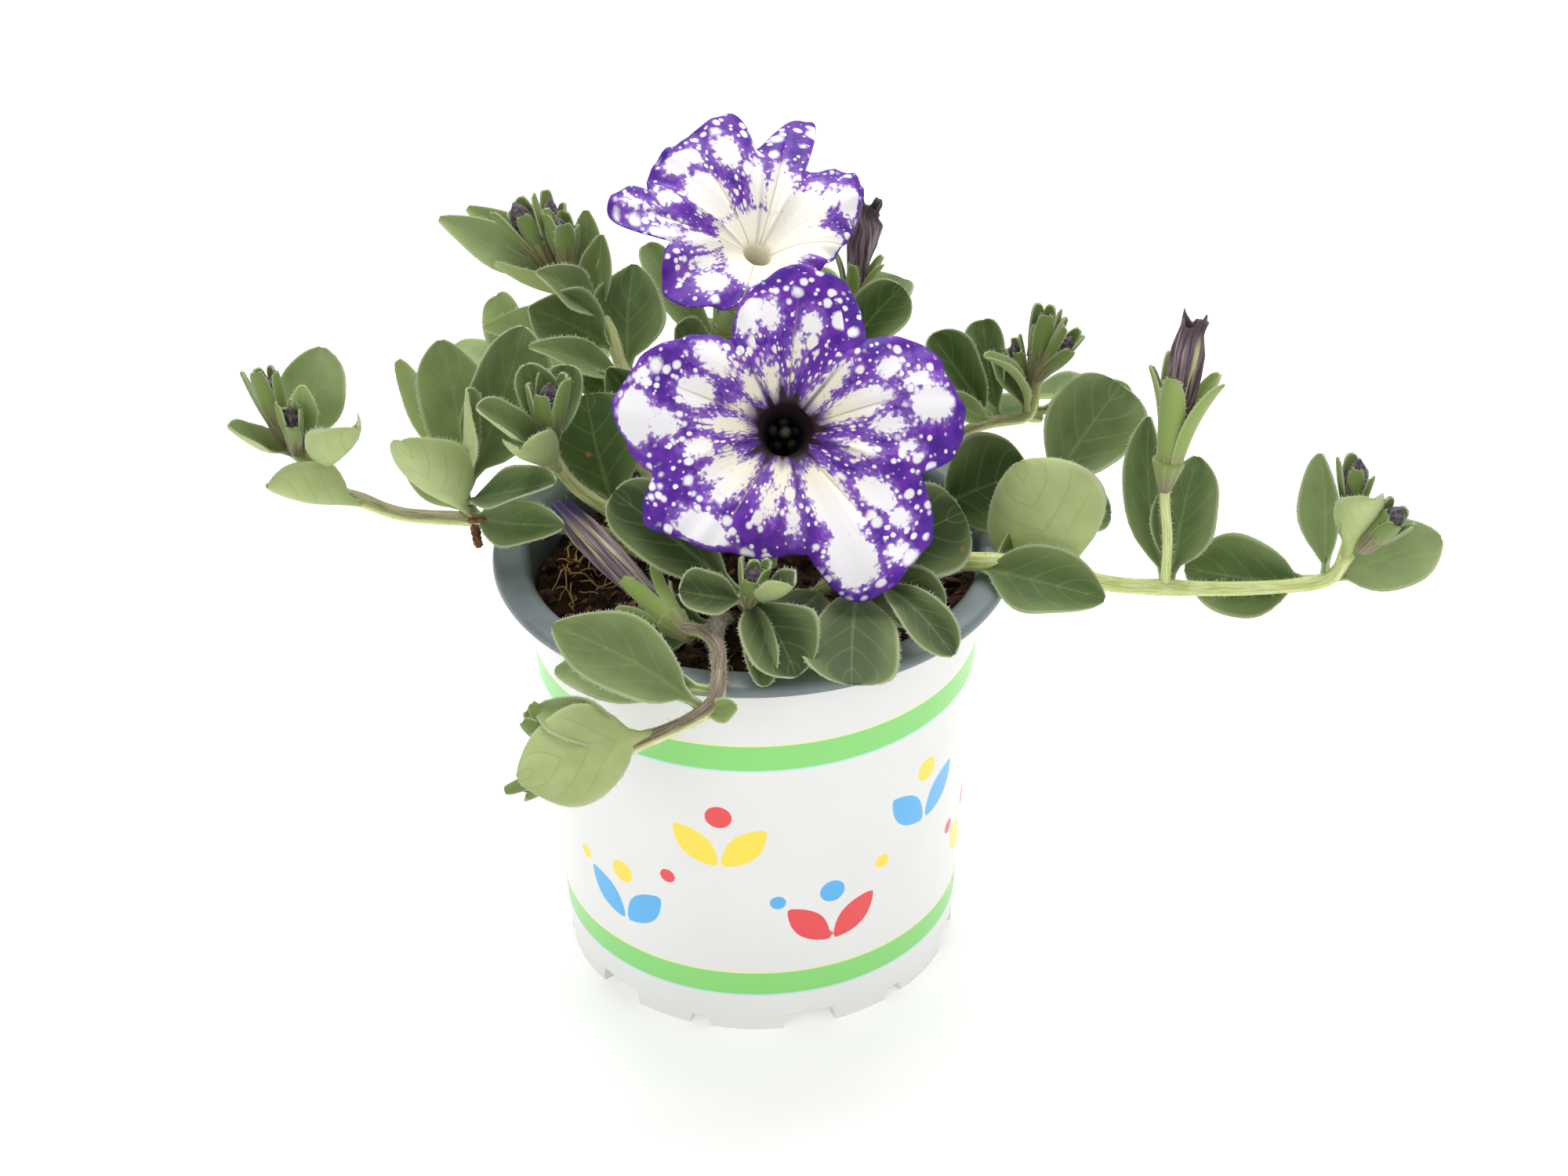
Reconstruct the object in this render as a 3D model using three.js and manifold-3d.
// Potted petunia: a young trailing petunia with two speckled blooms, three withered ones and
// many buds, in a 10.5 cm thermoformed nursery pot.
// Millimetres, +Z up. The origin is on the pot's axis at the level the pot stands on; -Y is the
// side the front bloom looks to, +X is to its right.
import * as THREE from 'three';
import Module from 'manifold-3d';
import { mergeVertices } from 'three/addons/utils/BufferGeometryUtils.js';

const wasm = await Module();
wasm.setup();

// Pot: a thin tapered shell with a wide flange, and a foot ring with notches for drainage
const POT_HEIGHT = 93;
const RIM_RADIUS = 52.5;
const FLANGE_WIDTH = 5.5;
const WALL_TOP_RADIUS = 46;
const FOOT_RADIUS = 41;
const WALL = 1.2;
const FOOT_WIDTH = 3;
const BASE_RISE = 4;
const BASE_DISC_RADIUS = 12;
const DRAIN_HOLE_RADIUS = 3.5;
const DRAIN_CIRCLE_RADIUS = 25;
const NOTCH_STEP = 60;
const NOTCHES = [
  { angle: -76, width: 10, height: 3.6 },
  { angle: -108, width: 3.5, height: 2.4 },
];
const POT_SIDES = 32;
const DRAIN_HOLES = 6;

// Soil: a filling up to a lumpy surface a little under the rim
const SOIL_LEVEL = 84;
const SOIL_LUMP = 1.5;
const SEAT_GAP = 0.35;

// Plant
const STEM_SIDES = 5;
const LEAF_THICKNESS = 0.8;
const PETIOLE_SHARE = 0.14;
const LEAF_BASE_POWER = 0.80;
const LEAF_TIP_POWER = 0.46;
const PETAL_THICKNESS = 0.7;
const TUBE_LENGTH = 30;
const THROAT_DEPTH = 7;
const THROAT_RADIUS = 6.4;
const TUBE_BASE_RADIUS = 2.6;
const CALYX_HEIGHT = 3.2;
const CALYX_RADIUS = 3.8;

// The leafy stems. A stem is a list of points from inside the soil outwards, with the radius at
// its start and its end. A leaf is [where on the stem 0-1, tip, width, way its upper side
// faces, cup, arch]. A bud is [base, tip, radius, sepals]. A calyx is [foot, axis, sepal length].
const SHOOTS = {
  left_branch: [
    {
      stem: [[-11, 4, 76], [-20, 5, 86], [-35, 4, 94], [-56, 5, 96], [-70, 4, 98], [-78, 3, 102], [-84, 3, 105], [-87, 3, 110], [-91, 3, 114]],
      radius: [1.9, 1.2],
      leaves: [
        [0.81, [-95, -6, 111], 13, [-3, 7, 6], 0.55, -0.05],
        [0.98, [-85, 14, 131], 12.5, [0, -10, 3], 0.15, -0.03],
        [0.98, [-87, 0, 131], 5, [1, -10, 3], 0.3, 0],
        [1.0, [-102, -4, 123], 7, [0, -3, 10], 0.5, -0.05],
        [0.94, [-77, -6, 125], 12, [-5, 6, 5], 0.6, -0.12],
      ],
      buds: [[[-92, 3, 115], [-96, 4, 133], 2.6, 4], [[-90, 1, 114], [-90, -2, 128], 2.0, 3]],
    },
    {
      stem: [[-56, 5, 96], [-58, 6, 100], [-58, 7, 105]],
      radius: [1.5, 1.1],
      leaves: [
        [0.77, [-62, 20, 129], 13.5, [1, -10, 4], 0.12, -0.04],
        [0.75, [-57, -2, 130], 8, [9, -2, 3], 0.5, 0.03],
        [0.7, [-46, 22, 131], 17, [3, -8, 4], 0.5, 0.08],
        [0.28, [-68, -8, 121], 14, [-2, 5, 8], 0.5, -0.1],
        [0.28, [-70, 12, 104], 5, [3, -8, 5], 0.2, -0.06],
        [0.45, [-37, -14, 114], 10, [0, -5, 10], 0.1, 0.05],
        [0.1, [-36, -18, 108], 9, [0, -8, 6], 0.15, 0.08],
        [0.95, [-71, 26, 121], 6, [-2, -10, 4], 0.1, 0],
      ],
    },
  ],
  mid_left: [
    {
      stem: [[-7, 0, 76], [-12, 0, 84], [-24, -2, 98], [-35, -3, 108], [-40, -2, 116]],
      radius: [1.8, 1.2],
      leaves: [
        [0.97, [-53, -8, 129], 8, [1, -4, 10], 0.35, 0.05],
        [0.92, [-44, -14, 122], 10, [-2, 6, 6], 0.6, 0],
        [0.99, [-36, 10, 128], 9, [-2, -10, 4], 0.3, 0],
        [0.96, [-44, 4, 132], 8, [3, -10, 3], 0.3, 0],
        [0.63, [-33, 11, 121], 20, [0, -8, 5], 0.1, 0.04],
      ],
      buds: [[[-40, -3, 116], [-39, -1, 133], 3, 4]],
    },
  ],
  back_left: [
    {
      stem: [[-5, 5, 76], [-8, 9, 86], [-14, 14, 102], [-21, 21, 111], [-26, 27, 117], [-29, 33, 124], [-33, 38, 129], [-39, 41, 134]],
      radius: [1.9, 1.1],
      leaves: [
        [0.42, [-29, 17, 124], 11, [0, -8, 6], 0.15, 0.04],
        [0.62, [-43, 14, 131], 8, [0, -5, 10], 0.25, 0.04],
        [0.57, [-36, 18, 122], 7, [0, -8, 6], 0.2, 0.05],
        [0.74, [-45, 28, 132], 14, [0, -8, 5], 0.12, 0.03],
        [0.82, [-42, 28, 140], 9.5, [0, -5, 10], 0.2, 0.04],
        [0.84, [-30, 42, 141], 7, [-4, -9, 3], 0.5, 0],
        [0.78, [-55, 40, 121], 7, [0, -8, 8], 0.15, 0.05],
        [0.95, [-63, 44, 145], 9, [0, -7, 9], 0.3, -0.06],
        [1.0, [-58, 51, 143], 6, [0, -8, 6], 0.4, 0],
        [0.9, [-52, 36, 137], 6, [0, 6, 5], 0.3, -0.05],
        [0.66, [-24, 44, 133], 14, [1, -9, 3], 0.12, 0.03],
        [0.91, [-33, 47, 144], 6.5, [-3, -9, 4], 0.3, 0],
      ],
      buds: [[[-41, 41, 134], [-49, 44, 150], 3.2, 4], [[-40, 43, 134], [-41, 48, 149], 2.2, 3], [[-37, 40, 133], [-39, 42, 147], 2.8, 3]],
    },
  ],
  back: [
    {
      stem: [[0, 7, 76], [0, 13, 86], [-2, 24, 98], [-4, 34, 106], [-5.6, 41, 113.2], [-6.3, 44, 116.7]],
      radius: [1.9, 1.3],
      leaves: [
        [0.8, [-16, 30, 126], 9, [0, -7, 10], 0.15, 0.04],
        [0.87, [-22, 54, 133], 7.5, [3, -10, 2], 0.3, 0],
        [0.85, [6, 52, 124], 12, [0, -6, 8], 0.15, 0.05],
        [0.75, [-8, 58, 114], 12, [0, 6, 10], 0.15, 0.05],
      ],
      calyxes: [[[-6.3, 44, 116.7], [3, -4, 8.6], 14]],
    },
  ],
  back_right: [
    {
      stem: [[5, 7, 76], [8, 14, 88], [13, 26, 103], [18, 39, 114], [21, 47, 121]],
      radius: [1.8, 1.2],
      leaves: [
        [0.8, [31, 42, 128], 11, [0, -8, 5], 0.15, 0.03],
        [0.5, [30, 28, 114], 10, [0, -6, 8], 0.15, 0.05],
        [0.85, [10, 64, 122], 11, [-2, 3, 9], 0.15, 0.05],
        [0.92, [32, 58, 122], 11, [3, 3, 8], 0.15, 0.05],
      ],
      calyxes: [[[21, 47, 121], [2, 1, 10], 8]],
    },
  ],
  right_back: [
    {
      stem: [[9, 5, 76], [14, 9, 86], [27, 17, 97], [46, 24, 105], [56, 26, 106], [58, 27, 112], [58, 28, 115]],
      radius: [1.7, 1.0],
      leaves: [
        [0.76, [36, 30, 123], 10, [3, -8, 6], 0.4, 0.05],
        [0.79, [48, 38, 122], 9, [-3, -8, 5], 0.4, 0.05],
        [0.88, [50, 32, 118], 7.5, [5, -8, 4], 0.45, 0.05],
        [0.89, [48, 22, 123], 5, [9, 2, 5], 0.5, 0.1],
        [0.76, [40, 20, 114], 5, [0, -8, 6], 0.2, 0.05],
        [0.89, [79, 34, 105], 9, [0, -8, 8], 0.2, 0.06],
      ],
      buds: [[[58, 28, 112], [60, 31, 130], 2.7, 4], [[58, 27, 114], [66, 26, 126], 2.3, 3], [[56, 29, 110], [53, 32, 122], 1.8, 3]],
    },
  ],
  right: [
    {
      stem: [[10, 1, 76], [17, 2, 86], [34, 5, 96], [51, 6, 98], [59, 9, 97]],
      radius: [1.7, 1.1],
      leaves: [
        [1.0, [75, 27, 112], 18, [0, -8, 5], 0.08, 0.04],
        [0.6, [55, 4, 106], 20, [0, -8, 5], 0.1, 0.05],
        [0.85, [72, 4, 96], 11, [0, -5, 10], 0.15, 0.06],
      ],
    },
  ],
  right_runner: [
    {
      stem: [[10, -4, 76], [17, -6, 84], [28, -9, 94], [40, -12, 95], [52, -15, 96], [69, -16, 92], [82, -15, 90], [99, -14, 89], [113, -13, 90], [117, -13, 96]],
      radius: [2.0, 1.3],
      leaves: [
        [0.35, [68, -25, 94], 13.5, [0, -6, 8], 0.1, 0.1],
        [0.38, [60, -4, 99], 8.5, [0, -8, 5], 0.12, 0.05],
        [0.53, [52, -8, 115], 25, [1, 9, 3], 0.25, -0.1],
        [0.67, [76, -6, 123], 9.5, [-7, -8, 2], 0.3, 0],
        [0.68, [87, -3, 113], 13, [2, -10, 3], 0.1, 0.03],
        [0.92, [86, -6, 89], 15.5, [0, -8, 5], 0.1, 0.04],
        [0.94, [112, -7, 116], 9, [-6, -8, 0], 0.4, 0],
        [0.94, [136, -8, 96], 13.5, [0, -8, 6], 0.15, 0.05],
        [1.0, [119, -20, 114], 10, [0, 7, 7], 0.6, 0],
      ],
      buds: [[[117, -12, 102], [118, -11, 119], 2.6, 4], [[119, -15, 98], [127, -18, 111], 2.8, 4]],
    },
    { stem: [[81, -15, 90], [81, -15, 101], [80, -15, 110], [80, -15, 116]], radius: [1.0, 1.0], leaves: [], calyxes: [[[80, -15, 116], [1, 1, 10], 17]] },
    { stem: [[116, -13, 95], [117, -12, 99], [117, -12, 103]], radius: [1.2, 1.0], leaves: [] },
  ],
  front_left_runner: [
    {
      stem: [[-4, -9, 76], [-6, -18, 86], [-7, -32, 94], [-7, -44, 96.8], [-6.5, -54, 96.2], [-9, -58, 92], [-22, -60, 86], [-29, -60, 82], [-35, -58, 80]],
      radius: [1.7, 1.2],
      leaves: [
        [0.3, [-26, -26, 89], 13, [0, -4, 9], 0.1, 0.03],
        [0.67, [-37, -50, 106], 13.5, [0, -7, 7], 0.12, 0.06],
        [0.67, [-3, -60, 94], 4.5, [0, -7, 7], 0.3, 0],
        [0.62, [-38, -46, 94], 9.5, [0, -7, 7], 0.1, 0.05],
        [0.79, [-44, -62, 80], 17, [0, 7, -6], 0.12, -0.05],
        [0.83, [-41, -52, 89], 8.5, [0, -6, 8], 0.3, 0.05],
      ],
      buds: [[[-34, -56, 80], [-43, -51, 88], 2.6, 3], [[-34, -57, 79], [-46, -56, 72], 2.2, 4]],
    },
    { stem: [[-6.5, -53, 96.5], [-6.5, -48, 99], [-9.5, -42, 99], [-14, -37, 96.5]], radius: [1.3, 1.3], leaves: [], calyxes: [[[-14, -37, 96.5], [-5.6, 8.2, 1.4], 10]] },
  ],
  front: [
    {
      stem: [[0, -6, 76], [-1, -14, 86], [-2, -26, 97], [-1, -38, 103]],
      radius: [1.7, 1.2],
      leaves: [
        [0.97, [-14, -39, 106], 9, [3, -6, 8], 0.4, 0.05],
        [0.92, [8, -44, 109], 8, [-5, 4, 9], 0.6, -0.05],
        [0.88, [8, -52, 95], 14, [0, -5, 9], 0.1, 0.12],
        [0.86, [2, -54, 95], 6, [0, -5, 9], 0.1, 0.12],
        [0.84, [-26, -16, 114], 13, [0, -8, 5], 0.1, 0.07],
      ],
      buds: [[[-1, -38, 102], [1, -38, 112], 2.4, 3]],
    },
  ],
  front_right: [
    {
      stem: [[5, -6, 76], [10, -13, 86], [16, -20, 96], [24, -26, 100]],
      radius: [1.7, 1.1],
      leaves: [
        [0.88, [18, -56, 94], 17, [0, -7, 7], -0.12, 0.04],
        [1.0, [37, -48, 98], 8.5, [0, -6, 8], 0.2, 0.04],
        [0.77, [41, -13, 107], 18, [0, -8, 5], 0.1, 0.05],
        [0.6, [6, -37, 93], 13, [0, -6, 9], 0.1, 0.05],
        [0.7, [36, -32, 96], 12, [0, -6, 9], 0.1, 0.06],
      ],
    },
  ],
  centre: [
    {
      stem: [[2, 1, 76], [3, 3, 86], [4, 8, 98], [5, 12, 106]],
      radius: [1.8, 1.3],
      leaves: [
        [0.6, [21, 12, 106], 11, [0, -5, 9], 0.15, 0.06],
        [0.55, [-14, 8, 106], 11, [0, -5, 9], 0.15, 0.06],
      ],
      calyxes: [[[5.3, 11.5, 106.5], [0.5, -7.7, 6.4], 15]],
    },
  ],
  rear_left: [
    {
      stem: [[-9, 8, 76], [-14, 16, 86], [-25, 28, 97], [-37, 39, 102], [-46, 46, 104]],
      radius: [1.7, 1.1],
      leaves: [
        [0.55, [-18, 46, 102], 13, [2, 5, 8], 0.15, 0.08],
        [0.7, [-54, 28, 108], 12, [-3, 0, 9], 0.2, 0.06],
        [0.85, [-38, 62, 108], 14, [1, 6, 8], 0.15, 0.08],
        [1.0, [-65, 54, 108], 12, [-4, 2, 9], 0.2, 0.06],
        [1.0, [-54, 60, 118], 9, [-4, -4, 6], 0.35, 0],
      ],
      buds: [[[-46, 46, 104], [-52, 54, 116], 2.2, 3]],
    },
  ],
  rear_middle: [
    {
      stem: [[-3, 10, 76], [-1, 22, 86], [2, 38, 96], [4, 54, 98], [6, 66, 96]],
      radius: [1.7, 1.1],
      leaves: [
        [0.6, [-14, 50, 100], 13, [-4, 3, 8], 0.15, 0.08],
        [0.68, [22, 46, 104], 13, [4, 3, 8], 0.15, 0.08],
        [0.85, [-11, 74, 98], 13, [-4, 4, 8], 0.15, 0.1],
        [0.9, [24, 72, 98], 14, [4, 4, 8], 0.15, 0.1],
        [1.0, [8, 84, 104], 10, [0, 0, 9], 0.3, 0.05],
      ],
    },
  ],
  rear_right: [
    {
      stem: [[8, 9, 76], [15, 19, 86], [30, 32, 97], [44, 42, 99], [57, 50, 97]],
      radius: [1.7, 1.1],
      leaves: [
        [0.55, [26, 50, 108], 12, [-2, 5, 8], 0.15, 0.08],
        [0.7, [60, 32, 100], 13, [5, 0, 8], 0.15, 0.08],
        [0.85, [44, 64, 101], 13, [0, 6, 8], 0.15, 0.08],
        [0.97, [75, 47, 97], 12, [4, 1, 8], 0.2, 0.06],
        [1.0, [64, 64, 92], 10, [3, 2, 8], 0.3, 0.04],
      ],
    },
  ],
};

// The open corollas. Each lobe runs round the limb from its own notch to the next lobe's, in
// degrees counted from the right as the bloom is looked into. Its reach is given at that notch and
// at five even steps round to the next.
const COROLLAS = {
  corolla_front: {
    centre: [7, -15, 128.5],
    axis: [0.5, -7.7, 6.4],
    ruffle: 1.3,
    lobes: [
      { from: -23, reach: [27, 33.4, 33.9, 32.8, 31.6, 28.9] },
      { from: 45, reach: [22.5, 28, 30.2, 31, 29.1, 25.4] },
      { from: 119, reach: [20, 24.6, 28.8, 31.7, 33.3, 31] },
      { from: 197, reach: [27.2, 32.8, 30.6, 28.2, 26.6, 25.6] },
      { from: 276, reach: [25, 36.4, 36.9, 36.4, 35.3, 32.4] },
    ],
  },
  corolla_back: {
    centre: [3.7, 30, 146.7],
    axis: [3, -4, 8.6],
    ruffle: 1.8,
    lobes: [
      { from: -83, reach: [13.5, 13, 14, 17, 22.5, 26.5] },
      { from: 33, reach: [22, 34, 34.6, 32.7, 29.8, 26.5] },
      { from: 60.5, reach: [23.9, 30, 28.4, 27.5, 27.2, 27] },
      { from: 131, reach: [24.7, 29.6, 32, 32.9, 31.5, 28.2] },
      { from: 164, reach: [21, 25.8, 25.4, 20, 15.5, 14.5] },
    ],
  },
};

// The withered corollas: a crumpled twisted tube along a line, with its radius at each point.
const WITHERED = {
  withered_front_left: { line: [[-16.2, -33.7, 97.1], [-21.8, -25.4, 98.2], [-27.6, -16.8, 99.5], [-33.5, -8, 101], [-39, 0, 102.5]], radius: [2, 2.6, 3.1, 3, 1.8], twist: 40 },
  withered_right: { line: [[80.4, -14.6, 119.6], [81.5, -13.5, 128], [82.5, -12.5, 136], [83.5, -11, 143], [84.5, -10, 148]], radius: [1.9, 2.1, 2.5, 2.9, 1.9], twist: 60 },
  withered_back: { line: [[21.8, 47.4, 124.5], [22.2, 48, 129.5], [23, 49, 134.5], [24.2, 50, 139.5], [25.4, 50, 144]], radius: [1.8, 2.2, 2.6, 2.6, 1.6], twist: 50 },
};

const DEG = Math.PI / 180;
const vec = (p) => new THREE.Vector3(p[0], p[1], p[2]);

// Solids
function solidOf(positions, triangles) {
  const mesh = new wasm.Mesh({
    numProp: 3,
    vertProperties: new Float32Array(positions),
    triVerts: new Uint32Array(triangles),
  });
  const solid = new wasm.Manifold(mesh);
  if (solid.volume() > 0) return solid;
  const turned = [];
  for (let i = 0; i < triangles.length; i += 3) turned.push(triangles[i], triangles[i + 2], triangles[i + 1]);
  return new wasm.Manifold(new wasm.Mesh({
    numProp: 3,
    vertProperties: new Float32Array(positions),
    triVerts: new Uint32Array(turned),
  }));
}

function solidOfGeometry(geometry) {
  const bare = geometry.clone();
  bare.deleteAttribute('normal');
  bare.deleteAttribute('uv');
  const merged = mergeVertices(bare, 1e-4);
  return solidOf(merged.attributes.position.array, merged.index.array);
}

// One body out of many: what they shut in between them is filled
function fuse(solids) {
  const shells = solids.reduce((whole, next) => whole.add(next)).decompose();
  return shells.reduce((body, shell) => (shell.volume() > body.volume() ? shell : body));
}

// A closed skin over rings of points, with a flat fan at each end
function loft(rings) {
  const sides = rings[0].length;
  const positions = [];
  for (const ring of rings) for (const p of ring) positions.push(p.x, p.y, p.z);
  const triangles = [];
  for (let k = 0; k + 1 < rings.length; k += 1) {
    for (let s = 0; s < sides; s += 1) {
      const a = k * sides + s;
      const b = k * sides + ((s + 1) % sides);
      triangles.push(a, b, b + sides, a, b + sides, a + sides);
    }
  }
  const last = (rings.length - 1) * sides;
  for (let s = 1; s + 1 < sides; s += 1) {
    triangles.push(0, s + 1, s);
    triangles.push(last, last + s, last + s + 1);
  }
  return solidOf(positions, triangles);
}

// Rings across a line of points; radiusAt(share, angle) gives the section
function ringsAlong(points, sides, radiusAt) {
  const up = Math.abs(points[1].clone().sub(points[0]).normalize().z) > 0.9
    ? new THREE.Vector3(0, 1, 0) : new THREE.Vector3(0, 0, 1);
  let side = null;
  return points.map((point, k) => {
    const before = points[Math.max(k - 1, 0)];
    const after = points[Math.min(k + 1, points.length - 1)];
    const along = after.clone().sub(before).normalize();
    if (side === null) side = new THREE.Vector3().crossVectors(up, along);
    side.addScaledVector(along, -side.dot(along)).normalize();
    const other = new THREE.Vector3().crossVectors(along, side);
    const ring = [];
    for (let s = 0; s < sides; s += 1) {
      const angle = (2 * Math.PI * s) / sides;
      const r = radiusAt(k / (points.length - 1), angle);
      ring.push(point.clone()
        .addScaledVector(side, r * Math.cos(angle))
        .addScaledVector(other, r * Math.sin(angle)));
    }
    return ring;
  });
}

// A thin sheet about a surface: the same triangles on both faces and a wall round its edge.
// A ring sheet joins its last column to its first.
function sheet(surface, along, across, thickness, ring = false) {
  const columns = ring ? across : across + 1;
  const grid = [];
  for (let i = 0; i <= along; i += 1) {
    grid.push([]);
    for (let j = 0; j < columns; j += 1) grid[i].push(surface(i / along, j / across));
  }
  const positions = [];
  for (const sign of [0.5, -0.5]) {
    for (let i = 0; i <= along; i += 1) {
      for (let j = 0; j < columns; j += 1) {
        const left = ring ? grid[i][(j + columns - 1) % columns] : grid[i][Math.max(j - 1, 0)];
        const right = ring ? grid[i][(j + 1) % columns] : grid[i][Math.min(j + 1, columns - 1)];
        const run = grid[Math.min(i + 1, along)][j].clone().sub(grid[Math.max(i - 1, 0)][j]);
        const normal = run.cross(right.clone().sub(left)).normalize();
        const p = grid[i][j].clone().addScaledVector(normal, sign * thickness);
        positions.push(p.x, p.y, p.z);
      }
    }
  }
  const size = (along + 1) * columns;
  const at = (i, j) => i * columns + (ring ? j % columns : j);
  const cells = ring ? columns : across;
  const triangles = [];
  const quad = (a, b, c, d) => triangles.push(a, b, c, a, c, d);
  for (let i = 0; i < along; i += 1) {
    for (let j = 0; j < cells; j += 1) {
      quad(at(i, j), at(i + 1, j), at(i + 1, j + 1), at(i, j + 1));
      triangles.push(size + at(i, j), size + at(i + 1, j + 1), size + at(i + 1, j));
      triangles.push(size + at(i, j), size + at(i, j + 1), size + at(i + 1, j + 1));
    }
  }
  for (let j = 0; j < cells; j += 1) {
    quad(at(0, j), at(0, j + 1), size + at(0, j + 1), size + at(0, j));
    quad(at(along, j + 1), at(along, j), size + at(along, j), size + at(along, j + 1));
  }
  if (!ring) {
    for (let i = 0; i < along; i += 1) {
      quad(at(i + 1, 0), at(i, 0), size + at(i, 0), size + at(i + 1, 0));
      quad(at(i, across), at(i + 1, across), size + at(i + 1, across), size + at(i, across));
    }
  }
  return solidOf(positions, triangles);
}

// Plant pieces
function stemPoints(stem, steps) {
  return new THREE.CatmullRomCurve3(stem.map(vec), false, 'catmullrom', 0.5).getPoints(steps);
}

function stemSolid(stem, radius, extra = 0) {
  const steps = Math.max(2, Math.round((stem.length - 1) * 1.3));
  const points = stemPoints(stem, steps);
  if (extra > 0) {
    const back = points[0].clone().sub(points[1]).normalize();
    points[0].addScaledVector(back, extra);
  }
  return loft(ringsAlong(points, STEM_SIDES, (share) => radius[0] + (radius[1] - radius[0]) * share + extra));
}

// A petunia leaf: spoon-shaped, widest past its middle, running down into a short broad petiole
function bladeWidth(share, petiole) {
  const t = Math.min(Math.max((share - petiole) / (1 - petiole), 0), 1);
  const a = LEAF_BASE_POWER;
  const b = LEAF_TIP_POWER;
  const peak = (a / (a + b)) ** a * (b / (a + b)) ** b;
  return (t ** a * (1 - t) ** b) / peak;
}

function blade(base, tip, width, face, cup, arch, along, across, petiole, root) {
  const length = tip.distanceTo(base);
  const ex = tip.clone().sub(base).normalize();
  const ez = face.clone().addScaledVector(ex, -face.dot(ex)).normalize();
  const ey = new THREE.Vector3().crossVectors(ez, ex);
  const surface = (s, w) => {
    const u = 1 - (1 - s) ** 1.5;
    const v = 2 * w - 1;
    const half = root * (1 - u) + 0.6 * u + (width / 2 - root) * bladeWidth(u, petiole);
    const rise = arch * length * 4 * u * (1 - u) + cup * half * v * v;
    return base.clone()
      .addScaledVector(ex, length * u)
      .addScaledVector(ey, half * v * (1 - 0.22 * cup * Math.abs(cup) * v * v))
      .addScaledVector(ez, rise);
  };
  return sheet(surface, along, across, LEAF_THICKNESS);
}

function leafSolid(base, tip, width, face, cup, arch) {
  const along = width > 14 ? 5 : width > 6 ? 4 : 3;
  return blade(base, tip, width, face, cup, arch, along, width > 14 ? 4 : 2, PETIOLE_SHARE, 0.75);
}

// A young bud in one skin: pointed sepals stand in a ring round the slim furled corolla
function budSolid([baseAt, tipAt, radius, sepals]) {
  const base = vec(baseAt);
  const tip = vec(tipAt);
  const line = [0, 1].map((share) => base.clone().lerp(tip, share));
  const length = base.distanceTo(tip);
  const axis = tip.clone().sub(base).normalize();
  const section = (height, reach) => ringsAlong(line, 2 * sepals, (share, angle) => reach(Math.round((angle / Math.PI) * sepals) % 2 === 0))[0]
    .map((p, s) => p.addScaledVector(axis, length * height(s % 2 === 0)));
  return loft([
    section(() => 0, () => 0.5 * radius),
    section(() => 0.4, (onSepal) => (onSepal ? 1.05 : 0.8) * radius),
    section((onSepal) => (onSepal ? 1 : 0.55), (onSepal) => (onSepal ? 1.35 : 0.8) * radius),
    section(() => 0.52, () => 0.5 * radius),
    section(() => 0.86, () => 0.22 * radius),
  ]);
}

// A calyx: a small cup at the end of a pedicel, with five narrow sepals that lean outward
function calyxSolids([footAt, axisAt, sepalLength]) {
  const foot = vec(footAt);
  const axis = vec(axisAt).normalize();
  const side = new THREE.Vector3(1, 0.2, 0.1).addScaledVector(axis, -axis.x - 0.2 * axis.y - 0.1 * axis.z).normalize();
  const other = new THREE.Vector3().crossVectors(axis, side);
  const points = [-0.6, 1.2, CALYX_HEIGHT].map((h) => foot.clone().addScaledVector(axis, h));
  const girth = [1.3, CALYX_RADIUS - 0.6, CALYX_RADIUS];
  const solids = [loft(ringsAlong(points, 8, (share) => girth[Math.round(share * 2)]))];
  for (let k = 0; k < 5; k += 1) {
    const angle = (2 * Math.PI * (k + 0.5)) / 5;
    const out = side.clone().multiplyScalar(Math.cos(angle)).addScaledVector(other, Math.sin(angle));
    const from = foot.clone().addScaledVector(axis, CALYX_HEIGHT - 1).addScaledVector(out, CALYX_RADIUS - 0.5);
    const to = foot.clone().addScaledVector(axis, CALYX_HEIGHT + sepalLength).addScaledVector(out, CALYX_RADIUS + 0.28 * sepalLength);
    solids.push(blade(from, to, 0.27 * sepalLength, out.clone().negate(), 0, 0.04, 3, 1, 0.02, 1.1));
  }
  return solids;
}

// A leaf is rooted on its own side of the stem, half way in
function leafRoot(curve, at, tip, radius) {
  const root = curve.getPointAt(at);
  const along = curve.getTangentAt(at);
  const out = tip.clone().sub(root);
  out.addScaledVector(along, -out.dot(along)).normalize();
  return root.addScaledVector(out, 0.5 * (radius[0] + (radius[1] - radius[0]) * at));
}

function shootSolid(parts) {
  const solids = [];
  for (const part of parts) {
    solids.push(stemSolid(part.stem, part.radius));
    const curve = new THREE.CatmullRomCurve3(part.stem.map(vec), false, 'catmullrom', 0.5);
    for (const [at, tip, width, face, cup, arch] of part.leaves) {
      solids.push(leafSolid(leafRoot(curve, at, vec(tip), part.radius), vec(tip), width, vec(face).normalize(), cup, arch));
    }
    for (const bud of part.buds ?? []) solids.push(budSolid(bud));
    for (const calyx of part.calyxes ?? []) solids.push(...calyxSolids(calyx));
  }
  return fuse(solids);
}

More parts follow.
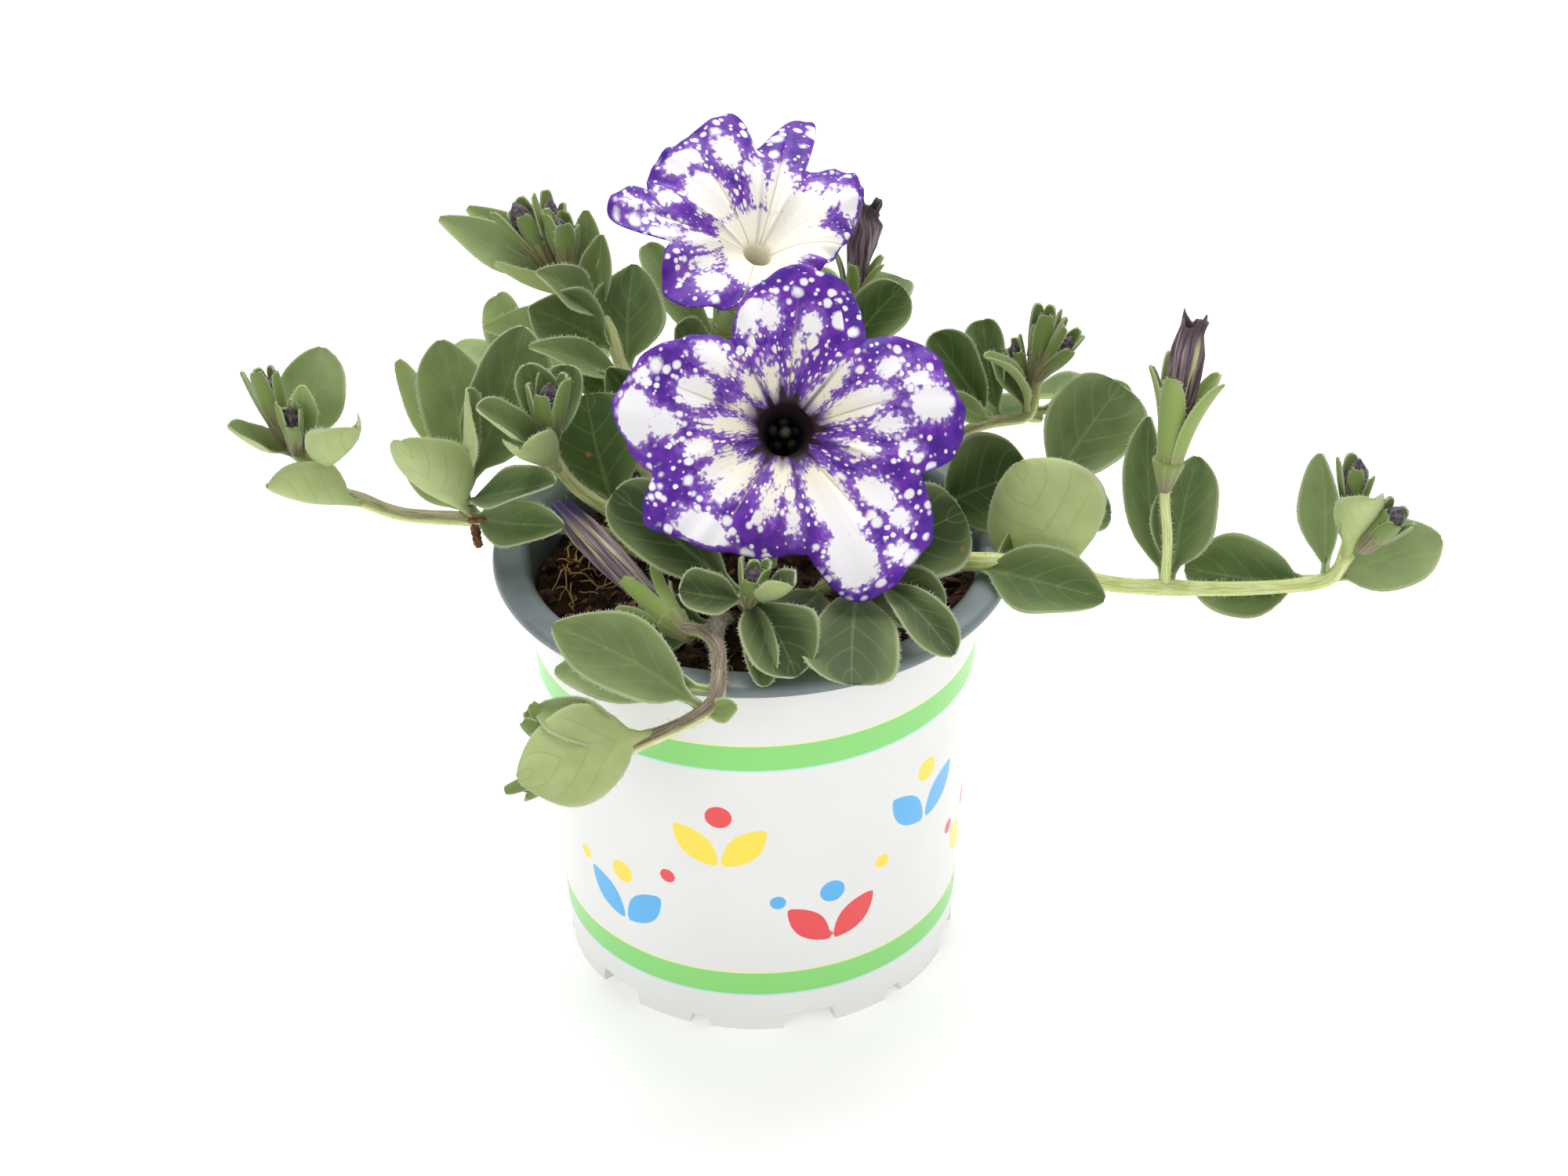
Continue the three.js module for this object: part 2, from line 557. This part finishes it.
// An open corolla: a narrow tube that widens to the throat and opens into a limb of five lobes
function limbEdge(lobes, share) {
  const place = share * lobes.length + 1e-9;
  const k = Math.floor(place) % lobes.length;
  const lobe = lobes[k];
  const next = lobes[(k + 1) % lobes.length];
  const end = next.from + (k + 1 === lobes.length ? 360 : 0);
  const t = place - Math.floor(place);
  const edge = [...lobe.reach, next.reach[0]];
  const step = Math.floor(t * lobe.reach.length);
  return {
    degrees: lobe.from + (end - lobe.from) * t,
    reach: edge[step] + (edge[step + 1] - edge[step]) * (t * lobe.reach.length - step),
  };
}

function corollaAxes(corolla) {
  const axis = vec(corolla.axis).normalize();
  const up = new THREE.Vector3(0, 0, 1).addScaledVector(axis, -axis.z).normalize();
  const right = new THREE.Vector3().crossVectors(up, axis);
  return { axis, up, right };
}

function corollaSolid(corolla) {
  const { axis, up, right } = corollaAxes(corolla);
  const centre = vec(corolla.centre);
  const tubeRings = 2;
  const limbRings = 3;
  const rings = tubeRings + limbRings;
  const surface = (u, w) => {
    const { degrees, reach } = limbEdge(corolla.lobes, w);
    const k = u * rings;
    let r;
    let h;
    if (k <= tubeRings) {
      const t = k / tubeRings;
      r = TUBE_BASE_RADIUS + (THROAT_RADIUS - TUBE_BASE_RADIUS) * t ** 1.6;
      h = -TUBE_LENGTH + (TUBE_LENGTH - THROAT_DEPTH) * t;
    } else {
      const t = (k - tubeRings) / limbRings;
      r = THROAT_RADIUS + (reach - THROAT_RADIUS) * t;
      h = -THROAT_DEPTH * (1 - t) ** 2.4 - 1.5 * t ** 4
        + corolla.ruffle * t * t * (Math.sin(5 * degrees * DEG + 0.8) + 0.5 * Math.sin(11 * degrees * DEG));
    }
    return centre.clone()
      .addScaledVector(right, r * Math.cos(degrees * DEG))
      .addScaledVector(up, r * Math.sin(degrees * DEG))
      .addScaledVector(axis, h);
  };
  return sheet(surface, rings, 30, PETAL_THICKNESS, true);
}

// The stamens and the style stand together on the bottom of the calyx, inside the tube
function stamenSolid(corolla) {
  const { axis, up, right } = corollaAxes(corolla);
  const foot = vec(corolla.centre).addScaledVector(axis, -TUBE_LENGTH);
  const place = (h, r, angle) => foot.clone()
    .addScaledVector(axis, h)
    .addScaledVector(right, r * Math.cos(angle))
    .addScaledVector(up, r * Math.sin(angle));
  const rod = (points, sides, girth) => loft(ringsAlong(points, sides, (share) => girth[Math.round(share * (girth.length - 1))]));
  const solids = [
    rod([place(0, 0, 0), place(1.2, 0, 0)], 6, [1.6, 1.6]),
    rod([place(0.6, 0, 0), place(20.5, 0.3, 1), place(22, 0.3, 1), place(23.2, 0.3, 1)], 5, [0.45, 0.45, 1.2, 0.9]),
  ];
  for (let k = 0; k < 5; k += 1) {
    const angle = (2 * Math.PI * k) / 5 + 0.3;
    const top = 19 + 1.2 * (k % 3);
    solids.push(rod([place(0.6, 1.1, angle), place(top - 2, 2.2, angle), place(top, 2.4, angle), place(top + 1.6, 2.5, angle)], 3, [0.4, 0.4, 1.0, 0.5]));
  }
  return fuse(solids);
}

function witheredSolid({ line, radius, twist }) {
  const curve = new THREE.CatmullRomCurve3(line.map(vec), false, 'catmullrom', 0.5);
  const count = 7;
  const points = curve.getPoints(count);
  return loft(ringsAlong(points, 10, (share, angle) => {
    const k = Math.min(Math.floor(share * (radius.length - 1)), radius.length - 2);
    const t = share * (radius.length - 1) - k;
    const r = radius[k] + (radius[k + 1] - radius[k]) * t;
    return r * (1 + 0.26 * Math.min(1, 3 * share) * Math.cos(4 * angle + twist * DEG * share * 4));
  }));
}

// Pot
function wallRadius(z) {
  return FOOT_RADIUS + (WALL_TOP_RADIUS - FOOT_RADIUS) * (z / (POT_HEIGHT - 4));
}

function potSolid() {
  const flangeInner = RIM_RADIUS - FLANGE_WIDTH;
  const under = POT_HEIGHT - WALL;
  const profile = [
    [0, 0],
    [BASE_DISC_RADIUS, 0],
    [BASE_DISC_RADIUS + 2, BASE_RISE],
    [FOOT_RADIUS - FOOT_WIDTH - 1.2, BASE_RISE],
    [FOOT_RADIUS - FOOT_WIDTH, 0],
    [FOOT_RADIUS, 0],
    [wallRadius(under - 1.5), under - 1.5],
    [flangeInner, under],
    [RIM_RADIUS - 0.8, under - 1.2],
    [RIM_RADIUS, under - 0.4],
    [RIM_RADIUS - 0.9, POT_HEIGHT],
    [flangeInner - 0.4, POT_HEIGHT],
    [wallRadius(under - 1.5) - WALL, under - 1.5],
    [wallRadius(BASE_RISE) - WALL, BASE_RISE + WALL],
    [BASE_DISC_RADIUS + 1.1, BASE_RISE + WALL],
    [BASE_DISC_RADIUS - 0.9, WALL],
    [0, WALL],
  ].map(([r, z]) => new THREE.Vector2(r, z));
  let pot = solidOfGeometry(new THREE.LatheGeometry(profile, POT_SIDES).rotateX(Math.PI / 2));
  for (let k = 0; k < DRAIN_HOLES; k += 1) {
    const hole = new THREE.CylinderGeometry(DRAIN_HOLE_RADIUS, DRAIN_HOLE_RADIUS, 8, 8)
      .rotateX(Math.PI / 2)
      .translate(DRAIN_CIRCLE_RADIUS, 0, BASE_RISE)
      .rotateZ((k + 0.5) * (2 * Math.PI / DRAIN_HOLES));
    pot = pot.subtract(solidOfGeometry(hole));
  }
  for (const notch of NOTCHES) {
    for (let turn = 0; turn < 360; turn += NOTCH_STEP) {
      const half = notch.width / 2;
      const shape = new THREE.Shape([
        new THREE.Vector2(-half - 0.8, -1),
        new THREE.Vector2(half + 0.8, -1),
        new THREE.Vector2(half, notch.height),
        new THREE.Vector2(-half, notch.height),
      ]);
      const cutter = new THREE.ExtrudeGeometry(shape, { depth: FOOT_WIDTH + 3, bevelEnabled: false })
        .rotateX(Math.PI / 2)
        .rotateZ(Math.PI / 2)
        .translate(FOOT_RADIUS - FOOT_WIDTH - 1.7, 0, 0)
        .rotateZ((notch.angle + turn) * DEG);
      pot = pot.subtract(solidOfGeometry(cutter));
    }
  }
  return pot;
}

// Soil with a lumpy top and a plain hole round each stem
function soilSolid() {
  const top = SOIL_LEVEL;
  const lump = (x, y) => SOIL_LUMP * (Math.sin(0.31 * x + 1) * Math.cos(0.27 * y) + 0.5 * Math.sin(0.53 * x - 0.41 * y + 2));
  const inner = (z) => wallRadius(z) - WALL - SEAT_GAP;
  const around = 16;
  const ring = (r, z, lumpy) => {
    const points = [];
    for (let s = 0; s < around; s += 1) {
      const angle = (2 * Math.PI * s) / around;
      const x = r * Math.cos(angle);
      const y = r * Math.sin(angle);
      points.push(new THREE.Vector3(x, y, lumpy ? z + lump(x, y) : z));
    }
    return points;
  };
  const floor = BASE_RISE + WALL + SEAT_GAP;
  const rings = [
    ring(BASE_DISC_RADIUS - 1.4, WALL + SEAT_GAP, false),
    ring(BASE_DISC_RADIUS + 0.8, floor, false),
    ring(inner(floor) - 0.3, floor, false),
    ring(inner(top - 3) - 0.2, top - 3, true),
    ring(inner(top) - 8, top, true),
    ring(inner(top) - 20, top + 0.8, true),
    ring(8, top + 1, true),
  ];
  let soil = loft(rings);
  for (const parts of Object.values(SHOOTS)) soil = soil.subtract(stemSolid(parts[0].stem, parts[0].radius, SEAT_GAP));
  return soil;
}

// Materials
const look = (color, roughness = 0.6) => new THREE.MeshStandardMaterial({ color, roughness, metalness: 0, side: THREE.DoubleSide });
const plastic = look('#f4f4f2', 0.35);
const soilLook = look('#3b2a1d', 0.95);
const leafLook = look('#5f8144', 0.6);
const petalLook = look('#6a45a8', 0.5);
const stamenLook = look('#8a9a4a', 0.6);
const driedLook = look('#5b4750', 0.8);

function meshOf(name, solid, material) {
  const { vertProperties, triVerts } = solid.getMesh();
  const geometry = new THREE.BufferGeometry();
  geometry.setAttribute('position', new THREE.BufferAttribute(new Float32Array(vertProperties), 3));
  geometry.setIndex(new THREE.BufferAttribute(new Uint32Array(triVerts), 1));
  geometry.computeVertexNormals();
  const mesh = new THREE.Mesh(geometry, material);
  mesh.name = name;
  return mesh;
}

const plant = new THREE.Group();
for (const [name, parts] of Object.entries(SHOOTS)) plant.add(meshOf(`shoot_${name}`, shootSolid(parts), leafLook));
for (const [name, corolla] of Object.entries(COROLLAS)) {
  plant.add(meshOf(name, corollaSolid(corolla), petalLook));
  plant.add(meshOf(name.replace('corolla', 'stamens'), stamenSolid(corolla), stamenLook));
}
for (const [name, withered] of Object.entries(WITHERED)) plant.add(meshOf(name, witheredSolid(withered), driedLook));

const petunia = new THREE.Group();
petunia.name = 'potted_petunia';
petunia.add(meshOf('pot', potSolid(), plastic));
petunia.add(meshOf('soil', soilSolid(), soilLook));
petunia.add(plant);

export default petunia;
